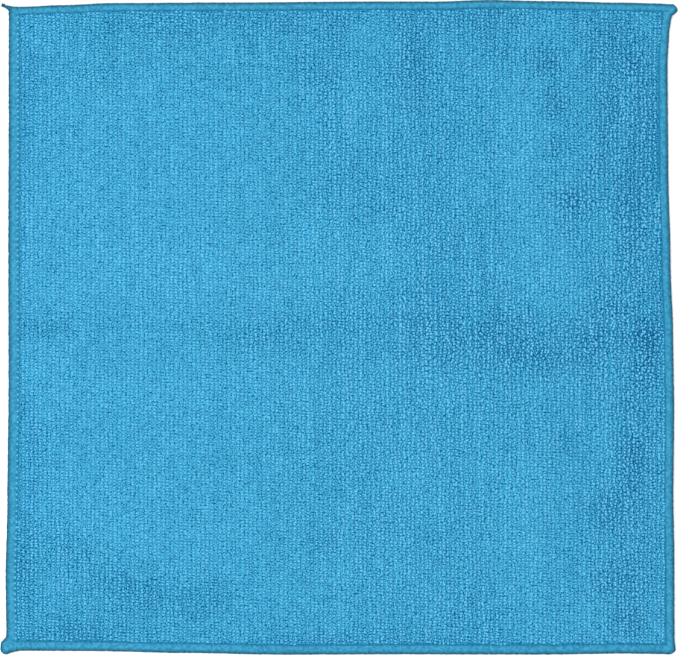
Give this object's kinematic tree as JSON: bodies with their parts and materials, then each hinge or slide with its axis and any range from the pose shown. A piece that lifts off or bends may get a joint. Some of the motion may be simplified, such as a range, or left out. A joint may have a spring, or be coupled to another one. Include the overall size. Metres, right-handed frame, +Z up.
{
  "type": "microfibre cloth",
  "caption": "Square two-sided microfibre terry cloth lying flat, with an overlocked padded rim, short thread ends at its corners and soft fold lines.",
  "frame": {"origin": "on the surface that the cloth lies on, below the centre of its footprint", "axes": "+X to the cloth's right and +Y to its top as it is seen from above, +Z up out of its face"},
  "size_m": [0.357, 0.345, 0.0038],
  "materials": {
    "terry": "matt looped pile with overlocked edges"
  },
  "bodies": {
    "root": {"cloth": "terry"}
  },
  "joints": []
}
